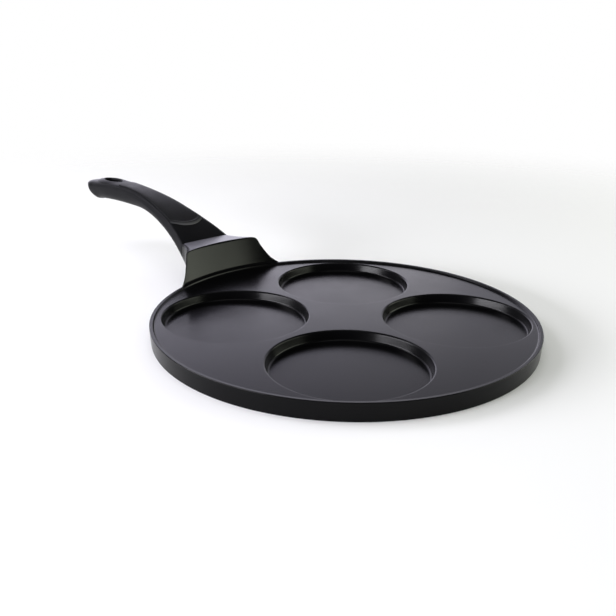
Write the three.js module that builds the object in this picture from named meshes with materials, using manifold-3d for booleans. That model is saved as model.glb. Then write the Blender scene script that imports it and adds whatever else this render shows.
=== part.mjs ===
// Pancake pan: a cast aluminium plate with round wells, a flared bracket cast on its rim, and an arched
// moulded handle with a soft inlay, held on the bracket's tang by one screw from underneath.
// Millimetres, +Z up, origin at the centre of the base, handle along +X.

import * as THREE from 'three';
import { mergeVertices } from 'three/addons/utils/BufferGeometryUtils.js';
import Module from 'manifold-3d';

const DEGREE = Math.PI / 180;

// Plate and rim
const RIM_RADIUS = 130;
const RIM_HEIGHT = 12.1;
const RIM_WIDTH = 2.4;
const RIM_RISE = 1.6;
const RIM_ROUND = 0.4;
const RIM_FILLET = 1.4;
const RIM_LEAN = 25 * DEGREE;
const WALL_DRAFT = 0.6;
const BASE_ROUND = 1.2;

// Wells, as large as the web between them and the margin to the rim allow
const WELL_COUNT = 4;
const WELL_WEB = 6.6;
const WELL_MARGIN = 3.4;
const WELL_SHIFT = -1.2;
const WELL_FLOOR = 4;
const WELL_DRAFT = 12 * DEGREE;
const WELL_LIP = 1.3;
const WELL_FILLET = 1.6;

// Bracket between the rim and the handle's joint face
const BRACKET_LENGTH = 26;
const BRACKET_INSET = 14;
const BRACKET_RIM_HALF = 37.8;
const BRACKET_RIM_BELLY = 4;
const BRACKET_LIFT = 1.4;
const BRACKET_CROWN = 0.4;
const BRACKET_SQUARENESS = 24;
const FRONT_LEAN = 19 * DEGREE;

// Joint face, shared by the bracket and the handle
const JOINT_HALF = 23.4;
const JOINT_TOP = 33.3;
const JOINT_THICKNESS = 17.2;
const JOINT_SQUARENESS = 14;

// Handle, measured along X from the joint face or back from the tip, and down from its highest point
const HANDLE_LENGTH = 173.5;
const HANDLE_HEIGHT = 61.5;
const CREST_FROM_TIP = 48;
const FLARE_REACH = 45;
const FLARE_HALF = 15.8;
const WAIST_FROM_TIP = 78;
const WAIST_HALF = 11.5;
const END_FROM_TIP = 32;
const END_HALF = 13;
const ARCH_FROM_TIP = 88;
const ARCH_THICKNESS = 16;
const NOTCH_FROM_TIP = 26;
const NOTCH_THICKNESS = 17.7;
const STOP_FROM_TIP = 16;
const STOP_THICKNESS = 20;
const TIP_DROP = 3.5;
const NOSE_DROP = 4.6;
const CAP_LENGTH = 13;
const TUCK_LENGTH = 25;
const HANDLE_SQUARENESS = 5;
const TIP_SQUARENESS = 3;
const BELLY_ROUNDNESS = 3;
const SIDE_LEVEL = 0.55;
const TIP_SIDE_LEVEL = 0.75;
const SIDE_LEAN = 0.12;
const JOINT_LEAN = 0.04;

// Slopes of the outlines where the curves join
const ROOT_FLARE = -1.9;
const RIM_FLARE = -0.95;
const JOINT_FLARE = -0.24;
const NECK_TAPER = -0.12;
const TOP_RISE = 0.5;
const NECK_RISE = 0.55;
const BELLY_RISE = 0.72;
const NOTCH_FALL = -0.1;
const TIP_FALL = -0.1;

// Hanging eye with its raised collar
const EYE_FROM_TIP = 35;
const EYE_LENGTH = 25;
const EYE_WIDTH = 10.5;
const COLLAR_LENGTH = 42;
const COLLAR_WIDTH = 22;
const COLLAR_HEIGHT = 3;
const COLLAR_RISE = 1.3;

// Inlaid grip pad
const PAD_START = 20;
const PAD_BOW = 7;
const PAD_MARGIN = 3;
const PAD_DEPTH = 1.6;
const PAD_PROUD = 0.7;
const PAD_TO_EYE = 6;

// Tang inside the handle and the screw through it
const TANG_ANGLE = 26 * DEGREE;
const TANG_COVER = 5.6;
const TANG_LENGTH = 22;
const TANG_WIDTH = 22;
const TANG_THICKNESS = 5;
const TANG_CORNER = 4;
const TANG_ROOT = 8;
const SCREW_REACH = 15;
const SCREW_RADIUS = 2;
const SCREW_HOLE_SPACE = 0.6;
const HEAD_RADIUS = 4;
const HEAD_HEIGHT = 2;
const HEAD_EDGE = 1;
const HEAD_FLAT_RADIUS = 2.4;
const SEAT_WALL = 1.4;
const FLAT_WASHER_RADIUS = 4.5;
const FLAT_WASHER_THICKNESS = 0.6;
const SPRING_WASHER_RADIUS = 3.6;
const SPRING_WASHER_THICKNESS = 0.8;
const SPRING_WASHER_SPLIT = 15 * DEGREE;
const COUNTERBORE_SPACE = 0.5;

// Clearance between neighbouring pieces
const FIT = 0.25;

// Facets
const PLATE_SEGMENTS = 72;
const WELL_SEGMENTS = 40;
const ROUND_SEGMENTS = 24;
const ARC_STEPS = 3;
const SECTION_POINTS = 28;
const BRACKET_STEPS = 14;
const HANDLE_STEPS = 22;
const CAP_STEPS = 6;
const PAD_STEPS = 8;

const wasm = await Module();
wasm.setup();

const at = (radius, height) => new THREE.Vector2(radius, height);

// Turns a closed geometry into a solid that can be joined and cut.
function solid(geometry) {
  const bare = new THREE.BufferGeometry();
  bare.setAttribute('position', geometry.getAttribute('position').clone());
  bare.setIndex(geometry.index ? geometry.index.clone() : null);
  const merged = mergeVertices(bare);
  const triangles = [];
  const index = merged.index.array;
  for (let i = 0; i < index.length; i += 3) {
    const [a, b, c] = [index[i], index[i + 1], index[i + 2]];
    if (a !== b && b !== c && c !== a) triangles.push(a, b, c);
  }
  return new wasm.Manifold(new wasm.Mesh({
    numProp: 3,
    vertProperties: new Float32Array(merged.getAttribute('position').array),
    triVerts: new Uint32Array(triangles),
  }));
}

// Turns a finished solid into a named piece of the pan.
function piece(name, body, material) {
  const mesh = body.getMesh();
  const geometry = new THREE.BufferGeometry();
  geometry.setAttribute('position', new THREE.BufferAttribute(new Float32Array(mesh.vertProperties), 3));
  geometry.setIndex(new THREE.BufferAttribute(new Uint32Array(mesh.triVerts), 1));
  geometry.computeVertexNormals();
  const node = new THREE.Mesh(geometry, material);
  node.name = name;
  return node;
}

// Revolves a profile of radius and height, written from the bottom up, about the Z axis.
function revolve(profile, segments) {
  return new THREE.LatheGeometry(profile, segments).rotateX(Math.PI / 2);
}

// Points of an arc of radius and height about a centre, both ends included.
function arc(centre, radius, from, to) {
  const points = [];
  for (let i = 0; i <= ARC_STEPS; i += 1) {
    const angle = from + (to - from) * i / ARC_STEPS;
    points.push(at(centre.x + radius * Math.cos(angle), centre.y + radius * Math.sin(angle)));
  }
  return points;
}

// A plain round bar along Z.
function bar(radius, low, high) {
  return revolve([at(0, low), at(radius, low), at(radius, high), at(0, high)], ROUND_SEGMENTS);
}

// A flat outline given a depth along Z.
function slab(outline, depth) {
  const curveSegments = ROUND_SEGMENTS / 2;
  return new THREE.ExtrudeGeometry(outline, { depth, bevelEnabled: false, curveSegments });
}

// Evenly spaced places from one end to the other, both included.
function spread(from, to, steps) {
  return Array.from({ length: steps + 1 }, (_, i) => from + (to - from) * i / steps);
}

const knot = (x, value, slope) => ({ x, value, slope });

// A smooth value along X through knots of place, value and slope.
function rail(...knots) {
  return (x) => {
    let i = 0;
    while (i < knots.length - 2 && x > knots[i + 1].x) i += 1;
    const [a, b] = [knots[i], knots[i + 1]];
    const span = b.x - a.x;
    const t = (x - a.x) / span;
    const rest = 1 - t;
    return a.value * (1 + 2 * t) * rest * rest + b.value * (3 - 2 * t) * t * t
      + span * (a.slope * t * rest * rest - b.slope * t * t * rest);
  };
}

// A cross-section of the bracket or handle: squarish above its widest level, with sides that lean in and a
// crowned top, and rounder below it.
function section(x, { half, top, side, belly, squareness, lean, crown }) {
  const points = [];
  for (let i = 0; i < SECTION_POINTS; i += 1) {
    const angle = 2 * Math.PI * i / SECTION_POINTS;
    const across = Math.cos(angle);
    const upward = Math.sin(angle);
    const above = upward >= 0;
    const power = 2 / (above ? squareness : BELLY_ROUNDNESS);
    const sideways = Math.sign(across) * Math.abs(across) ** power;
    const height = Math.sign(upward) * Math.abs(upward) ** power;
    const width = above ? half * (1 - lean * height) : half;
    const reach = above ? top - side - crown * sideways * sideways : side - belly;
    points.push(new THREE.Vector3(x, width * sideways, side + reach * height));
  }
  return points;
}

// Skins a row of cross-sections and closes both ends with a fan about their middle.
function loft(sections) {
  const count = SECTION_POINTS;
  const points = sections.flat();
  const triangles = [];
  for (let s = 0; s < sections.length - 1; s += 1) {
    for (let i = 0; i < count; i += 1) {
      const a = s * count + i;
      const b = s * count + (i + 1) % count;
      triangles.push(a, b, a + count, b, b + count, a + count);
    }
  }
  const ends = [{ ring: sections[0], first: 0, step: 1 }];
  ends.push({ ring: sections.at(-1), first: points.length - count, step: count - 1 });
  for (const { ring, first, step } of ends) {
    const middle = new THREE.Vector3();
    for (const point of ring) middle.addScaledVector(point, 1 / count);
    points.push(middle);
    for (let i = 0; i < count; i += 1) {
      triangles.push(points.length - 1, first + (i + step) % count, first + i);
    }
  }
  const geometry = new THREE.BufferGeometry().setFromPoints(points);
  geometry.setIndex(triangles);
  return geometry;
}

// Plate with its raised rim

const plateTop = RIM_HEIGHT - RIM_RISE;
const rimInner = RIM_RADIUS - RIM_WIDTH;
const rimMiddle = RIM_RADIUS - RIM_WIDTH / 2;
const wallFoot = RIM_RADIUS - WALL_DRAFT;

const plate = solid(revolve([
  at(0, 0),
  ...arc(at(wallFoot - BASE_ROUND, BASE_ROUND), BASE_ROUND, -Math.PI / 2, 0),
  ...arc(at(RIM_RADIUS - RIM_ROUND, RIM_HEIGHT - RIM_ROUND), RIM_ROUND, 0, Math.PI / 2),
  ...arc(at(rimInner + RIM_ROUND, RIM_HEIGHT - RIM_ROUND), RIM_ROUND, Math.PI / 2, Math.PI - RIM_LEAN),
  ...arc(at(rimInner - RIM_FILLET, plateTop + RIM_FILLET), RIM_FILLET, -RIM_LEAN, -Math.PI / 2),
  at(0, plateTop),
], PLATE_SEGMENTS));

// Wells stand in a ring that just fits inside the rim, set a little away from the handle

const wellReach = rimInner - WELL_MARGIN;
const wellCircle = (wellReach + WELL_WEB / 2) / (1 + Math.sin(Math.PI / WELL_COUNT));
const wellRadius = wellReach - wellCircle;
const wellDepth = plateTop - WELL_FLOOR;

// The wall leans out at the draft angle, rounds over into the plate and fillets into the floor.
const setback = Math.tan((Math.PI / 2 - WELL_DRAFT) / 2);
const footRadius = wellRadius - wellDepth * Math.tan(WELL_DRAFT);
const footCentre = at(footRadius - WELL_FILLET * setback, WELL_FLOOR + WELL_FILLET);
const lipCentre = at(wellRadius + WELL_LIP * setback, plateTop - WELL_LIP);
const wellCutter = solid(revolve([
  at(0, WELL_FLOOR),
  ...arc(footCentre, WELL_FILLET, -Math.PI / 2, -WELL_DRAFT),
  ...arc(lipCentre, WELL_LIP, Math.PI - WELL_DRAFT, Math.PI / 2),
  at(lipCentre.x, RIM_HEIGHT),
  at(0, RIM_HEIGHT),
], WELL_SEGMENTS));

// Bracket: a flared blank whose front face is a cone about the pan's axis, leaning out from the rim's edge

const jointFace = RIM_RADIUS + BRACKET_LENGTH;
const jointBelly = JOINT_TOP - JOINT_THICKNESS;
const jointSide = jointBelly + SIDE_LEVEL * JOINT_THICKNESS;
const rootFace = RIM_RADIUS - BRACKET_INSET;
const rootHalf = Math.sqrt(rimMiddle ** 2 - rootFace ** 2);

const bracketHalf = rail(
  knot(rootFace, rootHalf, ROOT_FLARE),
  knot(RIM_RADIUS, BRACKET_RIM_HALF, RIM_FLARE),
  knot(jointFace, JOINT_HALF, JOINT_FLARE),
);
const bracketTop = rail(knot(rootFace, JOINT_TOP + BRACKET_LIFT, 0), knot(jointFace, JOINT_TOP, 0));
const bracketSide = rail(
  knot(rootFace, RIM_HEIGHT / 2, TOP_RISE),
  knot(RIM_RADIUS, RIM_HEIGHT, TOP_RISE),
  knot(jointFace, jointSide, TOP_RISE),
);
const bracketBelly = rail(
  knot(rootFace, BASE_ROUND, 0),
  knot(RIM_RADIUS, BRACKET_RIM_BELLY, TOP_RISE),
  knot(jointFace, jointBelly, BELLY_RISE),
);
const bracketSquareness = rail(knot(rootFace, BRACKET_SQUARENESS, 0), knot(jointFace, JOINT_SQUARENESS, 0));
const bracketLean = rail(knot(RIM_RADIUS, 0, 0), knot(jointFace, JOINT_LEAN, 0));
const bracketCrown = rail(knot(RIM_RADIUS, BRACKET_CROWN, 0), knot(jointFace, 0, 0));
const bracketBlank = solid(loft(spread(rootFace, jointFace, BRACKET_STEPS).map((x) => section(x, {
  half: bracketHalf(x),
  top: bracketTop(x),
  side: bracketSide(x),
  belly: bracketBelly(x),
  squareness: bracketSquareness(x),
  lean: bracketLean(Math.max(x, RIM_RADIUS)),
  crown: bracketCrown(Math.max(x, RIM_RADIUS)),
}))));

const coneHeight = JOINT_TOP;
const clearSpace = solid(revolve([
  at(0, 0),
  at(rimMiddle, 0),
  at(rimMiddle, RIM_HEIGHT),
  at(RIM_RADIUS, RIM_HEIGHT),
  at(RIM_RADIUS + coneHeight * Math.tan(FRONT_LEAN), RIM_HEIGHT + coneHeight),
  at(0, RIM_HEIGHT + coneHeight),
], PLATE_SEGMENTS));

// Tang, in a frame that lies along the handle's rising neck

const onTang = (geometry) => geometry.rotateY(-TANG_ANGLE).translate(jointFace, 0, JOINT_TOP - TANG_COVER);
const onScrew = (geometry) => onTang(geometry.translate(SCREW_REACH, 0, 0));

// The tang, or its socket when it is grown by the clearance.
function tang(grow) {
  const half = TANG_WIDTH / 2 + grow;
  const corner = TANG_CORNER + grow;
  const cornerAt = TANG_LENGTH + grow - corner;
  const depth = TANG_THICKNESS + 2 * grow;
  const outline = new THREE.Shape();
  outline.moveTo(-TANG_ROOT, -half);
  outline.lineTo(cornerAt, -half);
  outline.absarc(cornerAt, corner - half, corner, -Math.PI / 2, 0);
  outline.absarc(cornerAt, half - corner, corner, 0, Math.PI / 2);
  outline.lineTo(-TANG_ROOT, half);
  return solid(onTang(slab(outline, depth).translate(0, 0, -depth / 2)));
}

const tappedHole = solid(onScrew(bar(SCREW_RADIUS + FIT, -TANG_THICKNESS, TANG_THICKNESS)));

let panBody = plate.add(bracketBlank.subtract(clearSpace)).add(tang(0)).subtract(tappedHole);
for (let i = 0; i < WELL_COUNT; i += 1) {
  const turn = (i + 0.5) * 360 / WELL_COUNT;
  const inRing = wellCutter.translate([wellCircle, 0, 0]).rotate([0, 0, turn]);
  panBody = panBody.subtract(inRing.translate([WELL_SHIFT, 0, 0]));
}

// Handle

const tip = jointFace + HANDLE_LENGTH;
const nose = HANDLE_HEIGHT - NOSE_DROP;
const stopBelly = HANDLE_HEIGHT - STOP_THICKNESS;

const handleHalf = rail(
  knot(jointFace, JOINT_HALF, JOINT_FLARE),
  knot(jointFace + FLARE_REACH, FLARE_HALF, NECK_TAPER),
  knot(tip - WAIST_FROM_TIP, WAIST_HALF, 0),
  knot(tip - END_FROM_TIP, END_HALF, 0),
  knot(tip, END_HALF, 0),
);
const handleTop = rail(
  knot(jointFace, JOINT_TOP, NECK_RISE),
  knot(tip - CREST_FROM_TIP, HANDLE_HEIGHT, 0),
  knot(tip, HANDLE_HEIGHT - TIP_DROP, TIP_FALL),
);
const handleBelly = rail(
  knot(jointFace, jointBelly, BELLY_RISE),
  knot(tip - ARCH_FROM_TIP, HANDLE_HEIGHT - ARCH_THICKNESS, 0),
  knot(tip - NOTCH_FROM_TIP, HANDLE_HEIGHT - NOTCH_THICKNESS, NOTCH_FALL),
  knot(tip - STOP_FROM_TIP, stopBelly, 0),
  knot(tip, stopBelly, 0),
);
const handleSide = rail(knot(jointFace, SIDE_LEVEL, 0), knot(tip, TIP_SIDE_LEVEL, 0));
const handleLean = rail(
  knot(jointFace, JOINT_LEAN, 0),
  knot(jointFace + FLARE_REACH, SIDE_LEAN, 0),
  knot(tip, SIDE_LEAN, 0),
);
const handleSquareness = rail(
  knot(jointFace, JOINT_SQUARENESS, 0),
  knot(jointFace + FLARE_REACH, HANDLE_SQUARENESS, 0),
  knot(tip, TIP_SQUARENESS, 0),
);

// How full the handle still is at x when it rounds off over a length before its tip.
function tipFullness(x, length) {
  const into = Math.max(0, (x - tip + length) / length);
  return Math.sqrt(1 - into * into);
}

// One section of the handle: inside the rounded tip it shrinks towards the nose, its belly sooner.
function handleSection(x) {
  const fullness = tipFullness(x, CAP_LENGTH);
  const top = nose + (handleTop(x) - nose) * fullness;
  const belly = nose + (handleBelly(x) - nose) * tipFullness(x, TUCK_LENGTH);
  const side = belly + handleSide(x) * (top - belly);
  return section(x, {
    half: handleHalf(x) * fullness,
    top,
    side,
    belly,
    squareness: handleSquareness(x),
    lean: handleLean(x),
    crown: 0,
  });
}

// Sections crowd together towards the end of the tip, a little short of its last point.
const capAngles = spread(0, Math.PI / 2, CAP_STEPS).slice(1, -1);
const handleBlank = solid(loft([
  ...spread(jointFace + FIT, tip - CAP_LENGTH, HANDLE_STEPS),
  ...capAngles.map((angle) => tip + CAP_LENGTH * (Math.sin(angle) - 1)),
  tip - FIT,
].map(handleSection)));

// The hanging eye is a long oval hole in a low domed collar.
const eyeMiddle = tip - EYE_FROM_TIP;
const collarTop = handleTop(eyeMiddle) + COLLAR_RISE;
const collar = solid(new THREE.SphereGeometry(1, ROUND_SEGMENTS, ROUND_SEGMENTS / 2)
  .scale(COLLAR_LENGTH / 2, COLLAR_WIDTH / 2, COLLAR_HEIGHT)
  .translate(eyeMiddle, 0, collarTop - COLLAR_HEIGHT));

const eyeOutline = new THREE.Shape();
eyeOutline.absellipse(0, 0, EYE_LENGTH / 2, EYE_WIDTH / 2, 0, 2 * Math.PI);
const eye = solid(slab(eyeOutline, HANDLE_HEIGHT).translate(eyeMiddle, 0, collarTop - HANDLE_HEIGHT / 2));

// Grip pad: an outline laid on the handle's crowned top, bowed towards the pan in front

const padStart = jointFace + PAD_START;
const padEnd = eyeMiddle - EYE_LENGTH / 2 - PAD_TO_EYE;

// The pad's outline as a tall block, or its seat's when it is grown by the clearance.
function padBlock(grow) {
  const half = (x) => handleHalf(x) - PAD_MARGIN + grow;
  const front = padStart - grow;
  const back = padEnd + grow;
  const shoulder = front + PAD_BOW;
  const heel = back - half(back);
  const places = spread(shoulder, heel, PAD_STEPS);
  const outline = new THREE.Shape();
  outline.moveTo(shoulder, -half(shoulder));
  for (const x of places.slice(1)) outline.lineTo(x, -half(x));
  outline.quadraticCurveTo(back, -half(heel), back, 0);
  outline.quadraticCurveTo(back, half(heel), heel, half(heel));
  for (const x of places.slice(0, -1).reverse()) outline.lineTo(x, half(x));
  outline.quadraticCurveTo(front - PAD_BOW, 0, shoulder, -half(shoulder));
  return solid(slab(outline, HANDLE_HEIGHT).translate(0, 0, JOINT_TOP));
}

const gripPad = padBlock(0)
  .intersect(handleBlank.translate([0, 0, PAD_PROUD]))
  .subtract(handleBlank.translate([0, 0, -PAD_DEPTH]));
const padSeat = padBlock(FIT).subtract(handleBlank.translate([0, 0, -PAD_DEPTH - FIT]));

// Screw stack, from its seat in the handle down to the head

const seatLevel = -TANG_THICKNESS / 2 - FIT - SEAT_WALL;
const flatWasherTop = seatLevel - FIT;
const flatWasherBottom = flatWasherTop - FLAT_WASHER_THICKNESS;
const springWasherBottom = flatWasherBottom - FIT - SPRING_WASHER_THICKNESS;
const headTop = springWasherBottom - FIT;
const headBottom = headTop - HEAD_HEIGHT;
const boreRadius = SCREW_RADIUS + FIT;
const counterboreRadius = Math.max(HEAD_RADIUS, FLAT_WASHER_RADIUS) + COUNTERBORE_SPACE;

const screwHole = solid(onScrew(bar(SCREW_RADIUS + SCREW_HOLE_SPACE, seatLevel - FIT, 0)));
const counterbore = solid(onScrew(bar(counterboreRadius, headBottom - TANG_LENGTH, seatLevel)));

const handleGrip = handleBlank.add(collar)
  .subtract(eye)
  .subtract(padSeat)
  .subtract(tang(FIT))
  .subtract(screwHole)
  .subtract(counterbore);

const handleScrew = solid(onScrew(revolve([
  at(0, headBottom),
  at(HEAD_FLAT_RADIUS, headBottom),
  at(HEAD_RADIUS, headBottom + HEAD_EDGE),
  at(HEAD_RADIUS, headTop),
  at(SCREW_RADIUS, headTop),
  at(SCREW_RADIUS, TANG_THICKNESS / 2),
  at(0, TANG_THICKNESS / 2),
], ROUND_SEGMENTS)));

const flatWasher = solid(onScrew(revolve([
  at(boreRadius, flatWasherBottom),
  at(FLAT_WASHER_RADIUS, flatWasherBottom),
  at(FLAT_WASHER_RADIUS, flatWasherTop),
  at(boreRadius, flatWasherTop),
  at(boreRadius, flatWasherBottom),
], ROUND_SEGMENTS)));

const splitStart = SPRING_WASHER_SPLIT / 2;
const splitEnd = 2 * Math.PI - splitStart;
const splitRing = new THREE.Shape();
splitRing.absarc(0, 0, SPRING_WASHER_RADIUS, splitStart, splitEnd);
splitRing.absarc(0, 0, boreRadius, splitEnd, splitStart, true);
const springBlank = slab(splitRing, SPRING_WASHER_THICKNESS).translate(0, 0, springWasherBottom);
const springWasher = solid(onScrew(springBlank));

// Finishes

const coat = new THREE.MeshStandardMaterial({ color: 0x2b2b2e, roughness: 0.38, metalness: 0.1 });
const phenolic = new THREE.MeshStandardMaterial({ color: 0x161618, roughness: 0.42, metalness: 0 });
const softInlay = new THREE.MeshStandardMaterial({ color: 0x1d1d20, roughness: 0.62, metalness: 0 });
const zincSteel = new THREE.MeshStandardMaterial({ color: 0xb4b6b8, roughness: 0.35, metalness: 1 });

const pancakePan = new THREE.Group();
pancakePan.add(
  piece('pan_body', panBody, coat),
  piece('handle_grip', handleGrip, phenolic),
  piece('grip_pad', gripPad, softInlay),
  piece('handle_screw', handleScrew, zincSteel),
  piece('spring_washer', springWasher, zincSteel),
  piece('flat_washer', flatWasher, zincSteel),
);

export default pancakePan;
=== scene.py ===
# Pancake pan: a cast plate with four round wells, a flared cast bracket and an arched moulded handle.
# Metres, in the frame of the solids: +Z up, +X along the handle, origin at the centre of the base.

import math

import bmesh
import bpy
import numpy as np
from mathutils import Matrix, Quaternion, Vector


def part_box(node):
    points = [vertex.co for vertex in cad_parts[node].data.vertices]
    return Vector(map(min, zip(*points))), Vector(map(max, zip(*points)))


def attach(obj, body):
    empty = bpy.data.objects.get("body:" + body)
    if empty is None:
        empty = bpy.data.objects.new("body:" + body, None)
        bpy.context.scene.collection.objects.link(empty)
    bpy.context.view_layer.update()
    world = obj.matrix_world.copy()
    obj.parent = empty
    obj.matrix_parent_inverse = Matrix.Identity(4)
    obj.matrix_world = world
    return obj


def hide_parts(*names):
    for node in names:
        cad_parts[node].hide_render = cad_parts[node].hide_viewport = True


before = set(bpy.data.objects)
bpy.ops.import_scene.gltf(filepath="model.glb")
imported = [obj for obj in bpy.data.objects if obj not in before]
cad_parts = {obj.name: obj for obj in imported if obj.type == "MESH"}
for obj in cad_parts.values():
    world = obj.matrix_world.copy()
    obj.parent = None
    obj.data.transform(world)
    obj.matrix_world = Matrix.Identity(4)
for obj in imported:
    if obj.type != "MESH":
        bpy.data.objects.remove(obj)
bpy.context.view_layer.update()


# Pan casting
# One aluminium casting: the round plate, its raised rim, four drafted wells and the flared bracket with its
# tang. It is sprayed with a dark satin non-stick coat, and its base is turned flat and left bare.

body_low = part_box("pan_body")[0]
RIM_RADIUS = -body_low.x
RIM_HEIGHT = 0.0121
RIM_WIDTH = 0.0024
RIM_RISE = 0.0016
RIM_ROUND = 0.0004
RIM_FILLET = 0.0014
RIM_LEAN = math.radians(25)
RIM_SLOPE = math.radians(4)
WALL_DRAFT = 0.0006
BASE_ROUND = 0.0012
WELL_COUNT = 4
WELL_WEB = 0.0066
WELL_MARGIN = 0.0034
WELL_SHIFT = -0.0012
WELL_FLOOR = 0.0040
WELL_DRAFT = math.radians(12)
WELL_LIP = 0.0013
WELL_FILLET = 0.0016
RIM_SEGMENTS = 288
WELL_SEGMENTS = 192
ARC_STEPS = 8
MERGE_DISTANCE = 1e-7
CREASE = math.radians(32)
NORMAL_WEIGHT = 80

plate_top = RIM_HEIGHT - RIM_RISE
rim_inner = RIM_RADIUS - RIM_WIDTH
rim_middle = RIM_RADIUS - RIM_WIDTH / 2
wall_foot = RIM_RADIUS - WALL_DRAFT
rim_low = RIM_HEIGHT - (RIM_WIDTH - 2 * RIM_ROUND) * math.tan(RIM_SLOPE)
rim_up = math.pi / 2 + RIM_SLOPE


def arc(centre, radius, start, end):
    """Points of an arc of radius and height, both ends included."""
    angles = np.linspace(start, end, ARC_STEPS + 1)
    return [(centre[0] + radius * math.cos(a), centre[1] + radius * math.sin(a)) for a in angles]


def circles(profile, segments, centre=(0.0, 0.0)):
    """One loop of points about an upright axis for each (radius, height) of a profile."""
    turn = np.arange(segments) * 2 * math.pi / segments
    across, along = np.cos(turn), np.sin(turn)
    return [
        np.column_stack([centre[0] + r * across, centre[1] + r * along, np.full(segments, z)])
        for r, z in profile
    ]


def skin(name, loops, start_cap=True, end_cap=True, joined=False):
    """A mesh object over a row of loops of equal length, capped at its ends or joined end to end."""
    count, rows = len(loops[0]), len(loops)
    faces = []
    for row in range(rows if joined else rows - 1):
        here, there = row * count, (row + 1) % rows * count
        for i in range(count):
            k = (i + 1) % count
            faces.append((here + i, here + k, there + k, there + i))
    if start_cap and not joined:
        faces.append(tuple(reversed(range(count))))
    if end_cap and not joined:
        faces.append(tuple(range((rows - 1) * count, rows * count)))
    mesh = bpy.data.meshes.new(name)
    mesh.from_pydata([tuple(p) for loop in loops for p in loop], [], faces)
    piece = bpy.data.objects.new(name, mesh)
    bpy.context.scene.collection.objects.link(piece)
    return piece


def weld(piece, parts=(), distance=MERGE_DISTANCE):
    """Joins mesh objects into a piece, merges the points that meet and turns all faces outwards."""
    shape = bmesh.new()
    shape.from_mesh(piece.data)
    for part in parts:
        shape.from_mesh(part.data)
        bpy.data.objects.remove(part)
    bmesh.ops.remove_doubles(shape, verts=shape.verts, dist=distance)
    open_edges = [e for e in shape.edges if e.is_boundary]
    if open_edges:
        bmesh.ops.triangle_fill(shape, use_beauty=True, edges=open_edges)
    bmesh.ops.recalc_face_normals(shape, faces=shape.faces)
    shape.to_mesh(piece.data)
    shape.free()
    return piece


def apply_modifiers(piece):
    """Replaces a piece's mesh by what its modifiers make of it."""
    graph = bpy.context.evaluated_depsgraph_get()
    mesh = bpy.data.meshes.new_from_object(piece.evaluated_get(graph))
    piece.modifiers.clear()
    piece.data = mesh


def combine(piece, tool, operation):
    """Adds a closed tool mesh to a piece or cuts it away, and removes the tool."""
    change = piece.modifiers.new("combine", "BOOLEAN")
    change.operation = operation
    change.solver = "EXACT"
    change.object = tool
    apply_modifiers(piece)
    bpy.data.objects.remove(tool)


def smooth(piece):
    """Smooth shading that stays flat on flat faces and sharp on creases."""
    piece.data.shade_smooth()
    piece.data.set_sharp_from_angle(angle=CREASE)
    weighted = piece.modifiers.new("weighted_normals", "WEIGHTED_NORMAL")
    weighted.keep_sharp = True
    weighted.weight = NORMAL_WEIGHT


pan_casting = skin("pan_casting", circles([
    *arc((wall_foot - BASE_ROUND, BASE_ROUND), BASE_ROUND, -math.pi / 2, 0),
    *arc((RIM_RADIUS - RIM_ROUND, RIM_HEIGHT - RIM_ROUND), RIM_ROUND, 0, rim_up),
    *arc((rim_inner + RIM_ROUND, rim_low - RIM_ROUND), RIM_ROUND, rim_up, math.pi - RIM_LEAN),
    *arc((rim_inner - RIM_FILLET, plate_top + RIM_FILLET), RIM_FILLET, -RIM_LEAN, -math.pi / 2),
], RIM_SEGMENTS), end_cap=False)

well_reach = rim_inner - WELL_MARGIN
well_circle = (well_reach + WELL_WEB / 2) / (1 + math.sin(math.pi / WELL_COUNT))
well_radius = well_reach - well_circle
setback = math.tan((math.pi / 2 - WELL_DRAFT) / 2)
foot_radius = well_radius - (plate_top - WELL_FLOOR) * math.tan(WELL_DRAFT)
foot_centre = (foot_radius - WELL_FILLET * setback, WELL_FLOOR + WELL_FILLET)
lip_centre = (well_radius + WELL_LIP * setback, plate_top - WELL_LIP)
well_profile = [
    *arc(foot_centre, WELL_FILLET, -math.pi / 2, -WELL_DRAFT),
    *arc(lip_centre, WELL_LIP, math.pi - WELL_DRAFT, math.pi / 2),
]
wells = []
for i in range(WELL_COUNT):
    turn = (i + 0.5) * 2 * math.pi / WELL_COUNT
    middle = (well_circle * math.cos(turn) + WELL_SHIFT, well_circle * math.sin(turn))
    wells.append(skin(f"well_{i}", circles(well_profile, WELL_SEGMENTS, middle), end_cap=False))
weld(pan_casting, wells)

BRACKET_LENGTH = 0.026
BRACKET_INSET = 0.014
BRACKET_RIM_HALF = 0.0378
BRACKET_RIM_BELLY = 0.004
BRACKET_LIFT = 0.0014
BRACKET_CROWN = 0.0004
BRACKET_SQUARENESS = 24
FRONT_LEAN = math.radians(19)
FACE_FOCUS = 1 / 3
FOOT_FILLET = 0.0018
FOOT_RUNOUT = 0.02
FOOT_LEAST = 0.0001
FRONT_EDGE = 0.0013
SIDE_EDGE = 0.0026
EDGE_CORNER = 0.006
EDGE_RUNOUT = 0.004
JOINT_HALF = 0.0234
JOINT_TOP = 0.0333
JOINT_THICKNESS = 0.0172
JOINT_EDGE = 0.0005
JOINT_SQUARENESS = 14
HANDLE_SQUARENESS = 5
TIP_SQUARENESS = 3
BELLY_ROUNDNESS = 3.0
SIDE_LEVEL = 0.55
TIP_SIDE_LEVEL = 0.75
SIDE_LEAN = 0.12
JOINT_LEAN = 0.04
ROOT_FLARE = -1.9
RIM_FLARE = -0.95
JOINT_FLARE = -0.24
TOP_RISE = 0.5
NECK_RISE = 0.55
BELLY_RISE = 0.72
ROOT_FILLET = 0.0025
SECTION_POINTS = 160
CORNERS = 4
CORNER_CROWDING = 0.75
BRACKET_ROWS = 48
EDGE_ROWS = 8
FACE_ROWS = 20
FOOT_ROWS = 120
EDGE_SHARES = (0.0, 0.15, 0.5, 1.0)
SEARCH_STEPS = 30

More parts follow.
